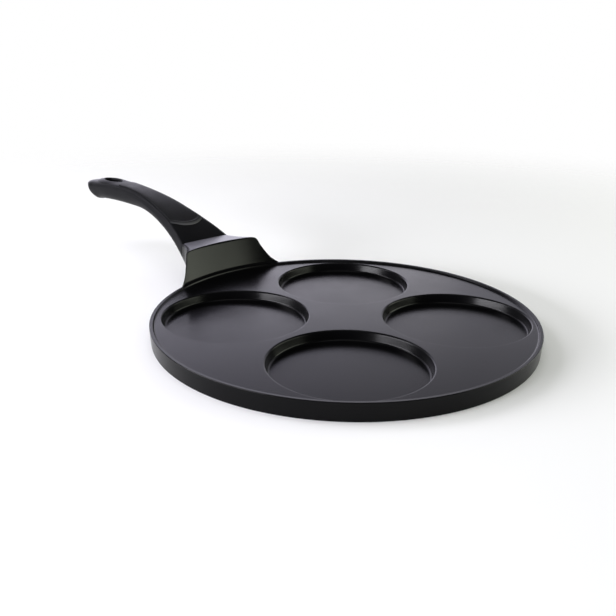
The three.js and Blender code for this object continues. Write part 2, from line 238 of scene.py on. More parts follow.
joint_face = RIM_RADIUS + BRACKET_LENGTH
joint_belly = JOINT_TOP - JOINT_THICKNESS
joint_side = joint_belly + SIDE_LEVEL * JOINT_THICKNESS
root_face = RIM_RADIUS - BRACKET_INSET
root_half = math.sqrt(rim_middle ** 2 - root_face ** 2)


def rail(*knots):
    """A smooth value along X through knots of (place, value, slope)."""
    def value(x):
        i = 0
        while i < len(knots) - 2 and x > knots[i + 1][0]:
            i += 1
        (x0, v0, s0), (x1, v1, s1) = knots[i], knots[i + 1]
        span = x1 - x0
        t = (x - x0) / span
        rest = 1 - t
        ends = v0 * (1 + 2 * t) * rest * rest + v1 * (3 - 2 * t) * t * t
        return ends + span * (s0 * t * rest * rest - s1 * t * t * rest)
    return value


even_angles = np.arange(SECTION_POINTS) * 2 * math.pi / SECTION_POINTS
section_angles = even_angles + CORNER_CROWDING * np.sin(CORNERS * even_angles) / CORNERS


def section(x, half, top, side, belly, squareness, lean, crown=0.0):
    """One cross-section: squarish above its widest level, where its sides lean in, and rounder below."""
    across, upward = np.cos(section_angles), np.sin(section_angles)
    power = np.where(upward >= 0, squareness, BELLY_ROUNDNESS)
    reach = (np.abs(across) ** power + np.abs(upward) ** power) ** (-1 / power)
    height = np.where(upward >= 0, top - side - crown * (reach * across) ** 2, side - belly)
    width = half * (1 - lean * np.maximum(0, reach * upward))
    y, z = width * reach * across, side + height * reach * upward
    return np.column_stack([np.full(SECTION_POINTS, x), y, z])


bracket_half = rail(
    (root_face, root_half, ROOT_FLARE),
    (RIM_RADIUS, BRACKET_RIM_HALF, RIM_FLARE),
    (joint_face, JOINT_HALF, JOINT_FLARE),
)
bracket_top = rail((root_face, JOINT_TOP + BRACKET_LIFT, 0), (joint_face, JOINT_TOP, 0))
bracket_side = rail(
    (root_face, RIM_HEIGHT / 2, TOP_RISE),
    (RIM_RADIUS, RIM_HEIGHT, TOP_RISE),
    (joint_face, joint_side, TOP_RISE),
)
bracket_belly = rail(
    (root_face, BASE_ROUND, 0),
    (RIM_RADIUS, BRACKET_RIM_BELLY, TOP_RISE),
    (joint_face, joint_belly, BELLY_RISE),
)
bracket_squareness = rail((root_face, BRACKET_SQUARENESS, 0), (joint_face, JOINT_SQUARENESS, 0))
bracket_lean = rail((RIM_RADIUS, 0, 0), (joint_face, JOINT_LEAN, 0))
bracket_crown = rail((RIM_RADIUS, BRACKET_CROWN, 0), (joint_face, 0, 0))


def front_radius(z):
    """Radius of the bracket's leaning front face at a height; below the rim it stays inside the rim."""
    return np.maximum(RIM_RADIUS + (z - RIM_HEIGHT) * math.tan(FRONT_LEAN), rim_middle)


def bracket_ring(x):
    """The bracket's cross-section at x, rounded off where it ends at the joint face."""
    into_edge = max(0.0, 1 - (joint_face - x) / JOINT_EDGE)
    inset = JOINT_EDGE * (1 - math.sqrt(1 - into_edge ** 2))
    return section(
        x, bracket_half(x) - inset, bracket_top(x) - inset, bracket_side(x), bracket_belly(x) + inset,
        bracket_squareness(x), bracket_lean(max(x, RIM_RADIUS)), bracket_crown(max(x, RIM_RADIUS)),
    )


def bracket_points(places):
    """For each angle of the section, the bracket's point at that angle's own place along X."""
    return np.array([bracket_ring(x)[i] for i, x in enumerate(places)])


inside, outside = np.full(SECTION_POINTS, root_face), np.full(SECTION_POINTS, joint_face)
for step in range(SEARCH_STEPS):
    middle = (inside + outside) / 2
    points = bracket_points(middle)
    beyond = np.hypot(points[:, 0], points[:, 1]) > front_radius(points[:, 2])
    outside = np.where(beyond, middle, outside)
    inside = np.where(beyond, inside, middle)
front_places = outside

bracket_loops = [bracket_ring(joint_face - JOINT_EDGE * share) for share in EDGE_SHARES]
last_ring = joint_face - JOINT_EDGE
edge = bracket_points(front_places)
on_top = np.clip(1 - (JOINT_TOP - edge[:, 2]) / EDGE_CORNER, 0, 1)
edge_round = SIDE_EDGE + (FRONT_EDGE - SIDE_EDGE) * on_top
edge_round *= np.clip((edge[:, 2] - RIM_HEIGHT) / EDGE_RUNOUT, 0, 1)
for share in np.linspace(0, 1, BRACKET_ROWS + 1)[1:]:
    loop = bracket_points(last_ring + (front_places + edge_round - last_ring) * share)
    outward = loop - np.array([0, 0, 1]) * loop.mean(axis=0)
    outward[:, 0] = 0
    outward /= np.linalg.norm(outward, axis=1)[:, None]
    away = np.clip((np.hypot(loop[:, 0], loop[:, 1]) - RIM_RADIUS) / ROOT_FILLET, 0, 1)
    below = np.clip((RIM_HEIGHT - loop[:, 2]) / (RIM_HEIGHT / 2), 0, 1)
    fillet = ROOT_FILLET * (1 - np.sqrt(1 - (1 - away) ** 2)) * below * below * (3 - 2 * below)
    bracket_loops.append(loop + outward * fillet[:, None])

edge = np.where(edge_round[:, None] > 0, edge, bracket_loops[-1])
edge_turn = np.arctan2(edge[:, 1], edge[:, 0])
face_middle = (RIM_HEIGHT + JOINT_TOP) * FACE_FOCUS


def face_points(share):
    """Points of the leaning front face, from its edge at 0 to its middle at 1."""
    turn = edge_turn * (1 - share)
    z = edge[:, 2] + (face_middle - edge[:, 2]) * share
    r = front_radius(z)
    return np.column_stack([r * np.cos(turn), r * np.sin(turn), z])


to_middle = np.hypot(edge_turn * RIM_RADIUS, edge[:, 2] - face_middle)
inset = edge_round / to_middle
before, after = bracket_loops[-1], face_points(inset)
for share in np.linspace(0, 1, EDGE_ROWS + 1)[1:]:
    rest = 1 - share
    bracket_loops.append(before * rest * rest + edge * 2 * rest * share + after * share * share)
for share in np.linspace(0, 1, FACE_ROWS + 1)[1:-1]:
    bracket_loops.append(face_points(inset + (1 - inset) * share))
bracket = weld(skin("bracket", bracket_loops))
combine(pan_casting, bracket, "UNION")

foot_turn = np.abs(edge_turn[edge[:, 2] > RIM_HEIGHT]).max()
foot_loops = []
for turn in np.linspace(-foot_turn, foot_turn, FOOT_ROWS + 1):
    reach = max(FOOT_LEAST, FOOT_FILLET * min(1.0, (foot_turn - abs(turn)) / FOOT_RUNOUT))
    hollow = reach * math.tan((math.pi / 2 + FRONT_LEAN) / 2)
    profile = [
        (RIM_RADIUS + reach, RIM_HEIGHT - reach),
        (RIM_RADIUS - reach, RIM_HEIGHT - reach),
        *arc((RIM_RADIUS - reach, RIM_HEIGHT + hollow), hollow, -math.pi / 2, -FRONT_LEAN),
        (RIM_RADIUS + reach, RIM_HEIGHT + reach * math.cos(FRONT_LEAN)),
    ]
    foot_loops.append([(r * math.cos(turn), r * math.sin(turn), z) for r, z in profile])
combine(pan_casting, weld(skin("foot_fillet", foot_loops)), "UNION")

TANG_ANGLE = math.radians(26)
TANG_COVER = 0.0056
TANG_LENGTH = 0.022
TANG_WIDTH = 0.022
TANG_THICKNESS = 0.005
TANG_CORNER = 0.004
TANG_ROOT = 0.008
SCREW_REACH = 0.015
SCREW_RADIUS = 0.002
FIT = 0.00025
ROUND_SEGMENTS = 64

tang_root = Matrix.Translation((joint_face, 0, JOINT_TOP - TANG_COVER))
tang_frame = tang_root @ Matrix.Rotation(-TANG_ANGLE, 4, "Y")
screw_frame = tang_frame @ Matrix.Translation((SCREW_REACH, 0, 0))


def turned(name, profile, place, segments=ROUND_SEGMENTS, joined=False):
    """A small turned piece of (radius, height), set in a frame of its own."""
    piece = skin(name, circles(profile, segments), joined=joined)
    piece.data.transform(place)
    return weld(piece)


def bar(name, radius, low, high):
    """A plain round bar along the screw's axis."""
    return turned(name, [(radius, low), (radius, high)], screw_frame)


def tang(grow):
    """The tang, or its socket when it is grown by the clearance."""
    half, corner = TANG_WIDTH / 2 + grow, TANG_CORNER + grow
    corner_at, thick = TANG_LENGTH + grow - corner, TANG_THICKNESS / 2 + grow
    outline = [(-TANG_ROOT, -half)]
    outline += arc((corner_at, corner - half), corner, -math.pi / 2, 0)
    outline += arc((corner_at, half - corner), corner, 0, math.pi / 2)
    outline.append((-TANG_ROOT, half))
    piece = skin("tang", [[(x, y, z) for x, y in outline] for z in (-thick, thick)])
    piece.data.transform(tang_frame)
    return weld(piece)


combine(pan_casting, tang(0), "UNION")
tapped_hole = bar("tapped_hole", SCREW_RADIUS + FIT, -TANG_THICKNESS, TANG_THICKNESS)
combine(pan_casting, tapped_hole, "DIFFERENCE")
smooth(pan_casting)


def material(name):
    """A new node material, its tree and its shader."""
    made = bpy.data.materials.new(name)
    made.use_nodes = True
    tree = made.node_tree
    return made, tree, tree.nodes["Principled BSDF"]


def node(tree, kind, inputs=(), **settings):
    """A node with its settings, and with its inputs set to values or linked to other sockets."""
    made = tree.nodes.new(kind)
    for key, value in settings.items():
        setattr(made, key, value)
    for key, value in dict(inputs).items():
        if isinstance(value, bpy.types.NodeSocket):
            tree.links.new(value, made.inputs[key])
        else:
            made.inputs[key].default_value = value
    return made


def worked(tree, operation, first, second=0.0):
    """The result of one sum on values or sockets."""
    return node(tree, "ShaderNodeMath", {0: first, 1: second}, operation=operation).outputs[0]


def ramp(tree, value, start, end, low=0.0, high=1.0, run="LINEAR"):
    """A value that runs from low to high while another one runs from start to end."""
    return node(tree, "ShaderNodeMapRange", {
        "Value": value, "From Min": start, "From Max": end, "To Min": low, "To Max": high,
    }, interpolation_type=run).outputs["Result"]


def mixed(tree, share, first, second):
    """A colour between two colours, the first at a share of 0 and the second at 1."""
    return node(tree, "ShaderNodeMix", {"Factor": share, 6: first, 7: second}, data_type="RGBA").outputs[2]


GRAIN_NOISE = {"Detail": 3.0, "Roughness": 0.6}
MOTTLE_NOISE = {"Detail": 5.0, "Roughness": 0.55}
MOTTLE_RANGE = (0.3, 0.7)


def grain_group():
    """Fine sprayed or moulded grain, and the broad unevenness of a finish, each from 0 to 1."""
    group = bpy.data.node_groups.new("surface_grain", "ShaderNodeTree")
    for label in ("Grain Scale", "Mottle Scale"):
        group.interface.new_socket(name=label, in_out="INPUT", socket_type="NodeSocketFloat")
    for label in ("Grain", "Mottle"):
        group.interface.new_socket(name=label, in_out="OUTPUT", socket_type="NodeSocketFloat")
    entry, leave = group.nodes.new("NodeGroupInput"), group.nodes.new("NodeGroupOutput")
    place = node(group, "ShaderNodeTexCoord").outputs["Object"]
    for label, look in (("Grain", GRAIN_NOISE), ("Mottle", MOTTLE_NOISE)):
        noise = node(group, "ShaderNodeTexNoise", {
            "Vector": place, "Scale": entry.outputs[f"{label} Scale"], **look,
        })
        group.links.new(noise.outputs["Fac"], leave.inputs[label])
    return group


surface_grain = grain_group()


def grained(tree, grain_scale, mottle_scale):
    """The grain group placed in a material with its own scales."""
    placed = node(tree, "ShaderNodeGroup", node_tree=surface_grain)
    placed.inputs["Grain Scale"].default_value = grain_scale
    placed.inputs["Mottle Scale"].default_value = mottle_scale
    return placed.outputs["Grain"], placed.outputs["Mottle"]


def link_finish(tree, shader, colour, roughness, height, strength, distance):
    """Links a colour, a roughness and the relief of a height to a material's shader."""
    relief = node(tree, "ShaderNodeBump", {"Height": height, "Strength": strength, "Distance": distance})
    tree.links.new(colour, shader.inputs["Base Color"])
    tree.links.new(roughness, shader.inputs["Roughness"])
    tree.links.new(relief.outputs["Normal"], shader.inputs["Normal"])


COAT_DARK = (0.0012, 0.0012, 0.0014, 1)
COAT_LIGHT = (0.0020, 0.0020, 0.0023, 1)
COAT_ROUGHNESS = (0.21, 0.27)
COAT_IOR = 1.2
COAT_GRAIN = (1400, 34)
COAT_RELIEF = (0.25, 0.00004)
BARE_METAL = (0.62, 0.62, 0.63, 1)
BARE_ROUGHNESS = 0.32
TURNING_PITCH = 0.0011
BASE_LEVEL = 0.0002
# Painted highlight: the up-facing top face of the bracket, above this height, gets a much lighter coat
# colour that stands in for light glinting off it.
HIGHLIGHT_FROM = 0.0322
HIGHLIGHT_TO = 0.0328
LEVEL_FROM = 0.95
LEVEL_TO = 0.99
COAT_HIGHLIGHT = (0.075, 0.073, 0.086, 1)

coat, tree, shader = material("nonstick_coat")
grain, mottle = grained(tree, *COAT_GRAIN)
coordinates = node(tree, "ShaderNodeTexCoord")
place = node(tree, "ShaderNodeSeparateXYZ", {"Vector": coordinates.outputs["Object"]}).outputs
facing = node(tree, "ShaderNodeSeparateXYZ", {"Vector": coordinates.outputs["Normal"]}).outputs
bare = worked(tree, "LESS_THAN", place["Z"], BASE_LEVEL)
# The painted highlight mask: high, up-facing faces (the top of the bracket) take the light coat colour.
high = ramp(tree, place["Z"], HIGHLIGHT_FROM, HIGHLIGHT_TO)
level = ramp(tree, facing["Z"], LEVEL_FROM, LEVEL_TO)
painted_highlight = worked(tree, "MULTIPLY", high, level)
mottled_coat = mixed(tree, mottle, COAT_DARK, COAT_LIGHT)
highlighted_coat = mixed(tree, painted_highlight, mottled_coat, COAT_HIGHLIGHT)
colour = mixed(tree, bare, highlighted_coat, BARE_METAL)
coat_rough = ramp(tree, mottle, *MOTTLE_RANGE, *COAT_ROUGHNESS)
rough = node(tree, "ShaderNodeMix", {"Factor": bare, 2: coat_rough, 3: BARE_ROUGHNESS}).outputs[0]
plan = node(tree, "ShaderNodeCombineXYZ", {"X": place["X"], "Y": place["Y"]}).outputs[0]
radius = node(tree, "ShaderNodeVectorMath", {0: plan}, operation="LENGTH").outputs["Value"]
rings = worked(tree, "SINE", worked(tree, "MULTIPLY", radius, 2 * math.pi / TURNING_PITCH))
height = node(tree, "ShaderNodeMix", {"Factor": bare, 2: grain, 3: rings}).outputs[0]
link_finish(tree, shader, colour, rough, height, *COAT_RELIEF)
tree.links.new(bare, shader.inputs["Metallic"])
shader.inputs["IOR"].default_value = COAT_IOR

pan_casting.data.materials.clear()
pan_casting.data.materials.append(coat)
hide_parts("pan_body")
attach(pan_casting, "root")


# Handle moulding
# One black phenolic moulding, arched and waisted, with a rounded tip, a finger stop below it and a long
# hanging eye in a raised collar. A socket takes the tang, and a counterbore underneath takes the screw.

HANDLE_LENGTH = 0.1735
HANDLE_HEIGHT = 0.0615
CREST_FROM_TIP = 0.048
FLARE_REACH = 0.045
FLARE_HALF = 0.0158
NECK_TAPER = -0.12
WAIST_FROM_TIP = 0.078
WAIST_HALF = 0.0115
END_FROM_TIP = 0.032
END_HALF = 0.013
ARCH_FROM_TIP = 0.088
ARCH_THICKNESS = 0.0160
NOTCH_FROM_TIP = 0.026
NOTCH_THICKNESS = 0.0177
NOTCH_FALL = -0.1
STOP_FROM_TIP = 0.016
STOP_THICKNESS = 0.0200
TIP_DROP = 0.0035
TIP_FALL = -0.1
NOSE_DROP = 0.0046
CAP_LENGTH = 0.013
TUCK_LENGTH = 0.025
TUCK_POWER = 1.33
EYE_FROM_TIP = 0.035
EYE_LENGTH = 0.025
EYE_WIDTH = 0.0105
EYE_EDGE = 0.0014
EYE_MARGIN = 0.0035
COLLAR_LENGTH = 0.042
COLLAR_WIDTH = 0.022
COLLAR_HEIGHT = 0.003
COLLAR_RISE = 0.0013
COLLAR_BLEND = 0.0004
COLLAR_FALL = 6
LEAN_STEPS = 6
HANDLE_ROWS = 130
CAP_ROWS = 22
EYE_ROWS = 6
WINDOW_MERGE = 1e-6

tip = joint_face + HANDLE_LENGTH
nose = HANDLE_HEIGHT - NOSE_DROP
stop_belly = HANDLE_HEIGHT - STOP_THICKNESS
handle_half = rail(
    (joint_face, JOINT_HALF, JOINT_FLARE),
    (joint_face + FLARE_REACH, FLARE_HALF, NECK_TAPER),
    (tip - WAIST_FROM_TIP, WAIST_HALF, 0),
    (tip - END_FROM_TIP, END_HALF, 0),
    (tip, END_HALF, 0),
)
handle_top = rail(
    (joint_face, JOINT_TOP, NECK_RISE),
    (tip - CREST_FROM_TIP, HANDLE_HEIGHT, 0),
    (tip, HANDLE_HEIGHT - TIP_DROP, TIP_FALL),
)
handle_belly = rail(
    (joint_face, joint_belly, BELLY_RISE),
    (tip - ARCH_FROM_TIP, HANDLE_HEIGHT - ARCH_THICKNESS, 0),
    (tip - NOTCH_FROM_TIP, HANDLE_HEIGHT - NOTCH_THICKNESS, NOTCH_FALL),
    (tip - STOP_FROM_TIP, stop_belly, 0),
    (tip, stop_belly, 0),
)
handle_side = rail((joint_face, SIDE_LEVEL, 0), (tip, TIP_SIDE_LEVEL, 0))
handle_lean = rail(
    (joint_face, JOINT_LEAN, 0),
    (joint_face + FLARE_REACH, SIDE_LEAN, 0),
    (tip, SIDE_LEAN, 0),
)
handle_squareness = rail(
    (joint_face, JOINT_SQUARENESS, 0),
    (joint_face + FLARE_REACH, HANDLE_SQUARENESS, 0),
    (tip, TIP_SQUARENESS, 0),
)
eye_middle = tip - EYE_FROM_TIP
collar_top = handle_top(eye_middle) + COLLAR_RISE


def tip_fullness(x, length):
    """How full the handle still is at x when it rounds off over a length before its tip."""
    into = min(1.0, max(0.0, (x - tip + length) / length))
    return math.sqrt(1 - into * into)


def handle_levels(x):
    """Half width, top, widest level and belly of the handle at x; all draw in to the nose at the tip."""
    fullness = tip_fullness(x, CAP_LENGTH)
    top = nose + (handle_top(x) - nose) * fullness
    belly = nose + (handle_belly(x) - nose) * tip_fullness(x, TUCK_LENGTH) ** TUCK_POWER
    return handle_half(x) * fullness, top, belly + handle_side(x) * (top - belly), belly


def collar_rise(x, y, z):
    """How far the collar's low dome lifts a point of the handle's top."""
    away = ((x - eye_middle) * 2 / COLLAR_LENGTH) ** 2 + (y * 2 / COLLAR_WIDTH) ** 2
    drop = np.where(away < 1, 1 - np.sqrt(np.maximum(0, 1 - away)), 1 + COLLAR_FALL * (away - 1))
    over = collar_top - COLLAR_HEIGHT * drop - z
    return (over + np.sqrt(over * over + COLLAR_BLEND * COLLAR_BLEND)) / 2


def handle_ring(x, inset=0.0):
    """The handle's cross-section at x, collar included, drawn in by an inset."""
    half, top, side, belly = handle_levels(x)
    squareness, lean = handle_squareness(x), handle_lean(x)
    ring = section(x, half - inset, top - inset, side, belly + inset, squareness, lean)
    upper = np.sin(section_angles) > 0
    ring[upper, 2] += collar_rise(ring[upper, 0], ring[upper, 1], ring[upper, 2])
    return ring


def handle_surface(x, y, above):
    """Height of the handle's top, or of its belly, over a point of the plan."""
    half, top, side, belly = handle_levels(x)
    power = handle_squareness(x) if above else BELLY_ROUNDNESS
    if not above:
        return side - (side - belly) * max(0.0, 1 - abs(y / half) ** power) ** (1 / power)
    share = 1.0
    for step in range(LEAN_STEPS):
        width = half * (1 - handle_lean(x) * share)
        share = max(0.0, 1 - abs(y / width) ** power) ** (1 / power)
    z = side + (top - side) * share
    return z + collar_rise(x, y, z)


rows = []
for share in EDGE_SHARES:
    inset = JOINT_EDGE * (1 - math.sqrt(1 - (1 - share) ** 2))
    rows.append((joint_face + FIT + JOINT_EDGE * share, inset))
body_start = joint_face + FIT + JOINT_EDGE
rows += [(x, 0.0) for x in np.linspace(body_start, tip - CAP_LENGTH, HANDLE_ROWS)[1:]]
cap_turns = np.linspace(0, math.pi / 2, CAP_ROWS)[1:-1]
rows += [(tip - CAP_LENGTH + CAP_LENGTH * math.sin(turn), 0.0) for turn in cap_turns]
grid = np.array([handle_ring(x, inset) for x, inset in rows])
row_places = np.array([x for x, inset in rows])

window_rows = np.flatnonzero(np.abs(row_places - eye_middle) < EYE_LENGTH / 2 + EYE_MARGIN)
middle_ring = grid[window_rows[len(window_rows) // 2]]
window_half = EYE_WIDTH / 2 + EYE_MARGIN
upper_columns = [i for i in range(SECTION_POINTS // 2) if abs(middle_ring[i, 1]) < window_half]


def window_loop(columns):
    """Indices of the grid points round a window of the handle's skin, in order."""
    first, last = window_rows[0], window_rows[-1]
    loop = [(first, c) for c in columns]
    loop += [(r, columns[-1]) for r in window_rows[1:]]
    loop += [(last, c) for c in reversed(columns[:-1])]
    loop += [(r, columns[0]) for r in reversed(window_rows[1:-1])]
    return loop


def eye_point(x, y, offset):
    """The point of the eye's oval outline towards a point of the plan, moved out by an offset."""
    turn = math.atan2(y / EYE_WIDTH, (x - eye_middle) / EYE_LENGTH)
    along, across = EYE_LENGTH / 2 + offset, EYE_WIDTH / 2 + offset
    return eye_middle + along * math.cos(turn), across * math.sin(turn)


def eye_loops(columns, above):
    """Loops from the window in the handle's skin, over the rounded edge and into the eye's wall."""
    start = [grid[r, c] for r, c in window_loop(columns)]
    loops = [np.array(start)]
    for share in np.linspace(0, 1, EYE_ROWS + 1)[1:]:
        loop = []
        for x, y, z in start:
            ex, ey = eye_point(x, y, EYE_EDGE)
            px, py = x + (ex - x) * share, y + (ey - y) * share
            loop.append((px, py, handle_surface(px, py, above)))
        loops.append(np.array(loop))
    for turn in np.linspace(0, math.pi / 2, ARC_STEPS + 1)[1:]:
        loop = []
        for x, y, z in start:
            px, py = eye_point(x, y, EYE_EDGE * (1 - math.sin(turn)))
            ex, ey = eye_point(x, y, EYE_EDGE)
            drop = EYE_EDGE * (1 - math.cos(turn))
            surface = handle_surface(ex, ey, above)
            loop.append((px, py, surface - drop if above else surface + drop))
        loops.append(np.array(loop))
    return loops


lower_columns = [SECTION_POINTS - c for c in upper_columns]
upper_eye = eye_loops(upper_columns, True)
lower_eye = eye_loops(lower_columns, False)
eye_wall = skin("eye_wall", upper_eye + lower_eye[::-1], start_cap=False, end_cap=False)

handle_moulding = skin("handle_moulding", list(grid))
windows = [(min(columns), max(columns)) for columns in (upper_columns, lower_columns)]
shape = bmesh.new()
shape.from_mesh(handle_moulding.data)
in_window = []
for face in shape.faces:
    spots = [divmod(v.index, SECTION_POINTS) for v in face.verts]
    in_rows = all(window_rows[0] <= r <= window_rows[-1] for r, c in spots)
    if in_rows and any(all(low <= c <= high for r, c in spots) for low, high in windows):
        in_window.append(face)
bmesh.ops.delete(shape, geom=in_window, context="FACES")
shape.to_mesh(handle_moulding.data)
shape.free()
weld(handle_moulding, [eye_wall], WINDOW_MERGE)

PAD_START = 0.0175
PAD_BOW = 0.007
PAD_MARGIN = 0.003
PAD_DEPTH = 0.0016
PAD_PROUD = 0.0007
PAD_TO_EYE = 0.006
PAD_EDGE = 0.0010
BEAD_WIDTH = 0.0040
BEAD_HEIGHT = 0.0009
# Painted highlight along the front bead: how far it reaches back from the front edge, and how much it fades
# towards the sides.
HIGHLIGHT_LENGTH = 0.0019
HIGHLIGHT_FADE = 0.75
PAD_ROWS = 90
PAD_COLUMNS = 36

pad_start = joint_face + PAD_START
pad_end = eye_middle - EYE_LENGTH / 2 - PAD_TO_EYE


def pad_solid(name, grow, low, high, edge=0.0, bead=0.0):
    """A closed solid on the inlay's outline over the handle's top, with a rounded edge and a front bead."""
    front, back = pad_start - grow, pad_end + grow
    heel = back - (handle_half(back) - PAD_MARGIN + grow)
    plan, lifts, highlight_shares = [], [], []
    for across in np.sin(np.linspace(-math.pi / 2, math.pi / 2, PAD_COLUMNS + 1)):
        start = front + PAD_BOW * across ** 2
        end = back - (back - heel) * (1 - math.sqrt(1 - abs(across))) ** 2
        along = (1 - np.cos(np.linspace(0, math.pi, PAD_ROWS + 1))) / 2
        for x in start + (end - start) * along:
            half = handle_half(x) - PAD_MARGIN + grow
            plan.append((x, across * half))
            inward = min(x - start, end - x, half * (1 - abs(across)))
            into_edge = max(0.0, 1 - inward / edge) if edge else 0.0
            over_bead = math.sin(math.pi * min(1.0, (x - start) / BEAD_WIDTH)) ** 2
            ridge = over_bead * (1 - across ** 2)
            lifts.append(high - edge * (1 - math.sqrt(1 - into_edge ** 2)) + bead * ridge)
            # Share of the painted highlight, strongest at the middle of the front edge.
            highlight_shares.append(max(0.0, 1 - (x - start) / HIGHLIGHT_LENGTH) * (1 - HIGHLIGHT_FADE * across ** 2))
    width = PAD_ROWS + 1
    count = len(plan)
    points = [(x, y, handle_surface(x, y, True) + low) for x, y in plan]
    points += [(x, y, handle_surface(x, y, True) + lift) for (x, y), lift in zip(plan, lifts)]
    faces = []
    for c in range(PAD_COLUMNS):
        for r in range(PAD_ROWS):
            a = c * width + r
            faces.append((a, a + 1, a + width + 1, a + width))
            faces.append((count + a, count + a + width, count + a + width + 1, count + a + 1))
    border = [*range(width), *(c * width + PAD_ROWS for c in range(1, PAD_COLUMNS + 1))]
    border += [PAD_COLUMNS * width + r for r in reversed(range(PAD_ROWS))]
    border += [c * width for c in reversed(range(1, PAD_COLUMNS))]
    for a, b in zip(border, border[1:] + border[:1]):
        faces.append((a, b, count + b, count + a))
    mesh = bpy.data.meshes.new(name)
    mesh.from_pydata(points, [], faces)
    mesh.attributes.new("painted_highlight", "FLOAT", "POINT").data.foreach_set("value", [0.0] * count + highlight_shares)
    piece = bpy.data.objects.new(name, mesh)
    bpy.context.scene.collection.objects.link(piece)
    return weld(piece)


SEAT_CLEAR = 0.004
SEAT_WALL = 0.0014
HEAD_RADIUS = 0.004
HEAD_HEIGHT = 0.002
FLAT_WASHER_RADIUS = 0.0045
FLAT_WASHER_THICKNESS = 0.0006
SPRING_WASHER_RADIUS = 0.0036
SPRING_WASHER_THICKNESS = 0.0008
SCREW_HOLE_SPACE = 0.0006
COUNTERBORE_SPACE = 0.0005

seat_level = -TANG_THICKNESS / 2 - FIT - SEAT_WALL
flat_washer_top = seat_level - FIT
flat_washer_bottom = flat_washer_top - FLAT_WASHER_THICKNESS
spring_washer_top = flat_washer_bottom - FIT
spring_washer_bottom = spring_washer_top - SPRING_WASHER_THICKNESS
head_top = spring_washer_bottom - FIT
head_bottom = head_top - HEAD_HEIGHT
counterbore_radius = max(HEAD_RADIUS, FLAT_WASHER_RADIUS) + COUNTERBORE_SPACE

pad_seat = pad_solid("pad_seat", FIT, -PAD_DEPTH - FIT, SEAT_CLEAR)
screw_hole = bar("screw_hole", SCREW_RADIUS + SCREW_HOLE_SPACE, seat_level - FIT, 0)
counterbore = bar("counterbore", counterbore_radius, head_bottom - TANG_LENGTH, seat_level)
for hollow in (pad_seat, tang(FIT), screw_hole, counterbore):
    combine(handle_moulding, hollow, "DIFFERENCE")
smooth(handle_moulding)

PHENOLIC_DARK = (0.0036, 0.0036, 0.0042, 1)
PHENOLIC_LIGHT = (0.0056, 0.0056, 0.0064, 1)
PHENOLIC_ROUGHNESS = (0.36, 0.44)
PHENOLIC_IOR = 1.14
PHENOLIC_GRAIN = (2600, 60)
PHENOLIC_RELIEF = (0.3, 0.00003)

phenolic, tree, shader = material("phenolic")
grain, mottle = grained(tree, *PHENOLIC_GRAIN)
colour = mixed(tree, mottle, PHENOLIC_DARK, PHENOLIC_LIGHT)
rough = ramp(tree, mottle, *MOTTLE_RANGE, *PHENOLIC_ROUGHNESS)
link_finish(tree, shader, colour, rough, grain, *PHENOLIC_RELIEF)
shader.inputs["IOR"].default_value = PHENOLIC_IOR

handle_moulding.data.materials.clear()
handle_moulding.data.materials.append(phenolic)
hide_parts("handle_grip")
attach(handle_moulding, "root")


# Grip inlay
# A thin soft-touch moulding let into a seat in the handle's top, a little proud of it, with rounded edges.
# Its front edge is bowed towards the pan and has a low bead, along whose lip a lighter colour is painted as
# a highlight.

grip_inlay = pad_solid("grip_inlay", 0, -PAD_DEPTH, PAD_PROUD, PAD_EDGE, BEAD_HEIGHT)
smooth(grip_inlay)

INLAY_DARK = (0.0034, 0.0034, 0.0040, 1)
INLAY_LIGHT = (0.0054, 0.0054, 0.0062, 1)
INLAY_HIGHLIGHT = (0.085, 0.085, 0.090, 1)
INLAY_ROUGHNESS = (0.38, 0.46)
INLAY_SHEEN = 0.02
INLAY_IOR = 1.12
INLAY_GRAIN = (3200, 80)
INLAY_RELIEF = (0.5, 0.00006)

soft_inlay, tree, shader = material("soft_inlay")
grain, mottle = grained(tree, *INLAY_GRAIN)
# The painted highlight: a light colour along the bead's front lip, from the attribute that pad_solid sets.
lip = node(tree, "ShaderNodeAttribute", attribute_name="painted_highlight").outputs["Fac"]
mottled_inlay = mixed(tree, mottle, INLAY_DARK, INLAY_LIGHT)
colour = mixed(tree, lip, mottled_inlay, INLAY_HIGHLIGHT)
rough = ramp(tree, mottle, *MOTTLE_RANGE, *INLAY_ROUGHNESS)
link_finish(tree, shader, colour, rough, grain, *INLAY_RELIEF)
shader.inputs["Sheen Weight"].default_value = INLAY_SHEEN
shader.inputs["IOR"].default_value = INLAY_IOR

grip_inlay.data.materials.clear()
grip_inlay.data.materials.append(soft_inlay)
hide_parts("grip_pad")
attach(grip_inlay, "root")


# Screw and washers
# A zinc plated pan-head screw with a cross recess holds the handle on the tang from underneath, with a
# split spring washer under its head and a plain washer on the moulding.

HEAD_EDGE = 0.001
HEAD_FLAT_RADIUS = 0.0024
HEAD_CURVE = math.pi / 3
WASHER_EDGE = 0.0001
RECESS_REACH = 0.0021
RECESS_HALF = 0.00045
RECESS_DEPTH = 0.0013
RECESS_TAPER = 0.55
SPLIT = math.radians(15)
bore_radius = SCREW_RADIUS + FIT

screw = turned("cross_head_screw", [
    (HEAD_FLAT_RADIUS, head_bottom),
    *arc((HEAD_RADIUS - HEAD_EDGE, head_bottom + HEAD_EDGE), HEAD_EDGE, -HEAD_CURVE, 0),
    (HEAD_RADIUS, head_top),
    (SCREW_RADIUS, head_top),
    (SCREW_RADIUS, TANG_THICKNESS / 2),
], screw_frame)
corners = [(-1, -1), (1, -1), (1, 1), (-1, 1)]
for quarter in (0, math.pi / 2):
    recess = skin("recess", [
        [(x * RECESS_REACH * size, y * RECESS_HALF * size, z) for x, y in corners]
        for size, z in ((1, head_bottom - FIT), (RECESS_TAPER, head_bottom + RECESS_DEPTH))
    ])
    recess.data.transform(screw_frame @ Matrix.Rotation(quarter, 4, "Z"))
    combine(screw, weld(recess), "DIFFERENCE")


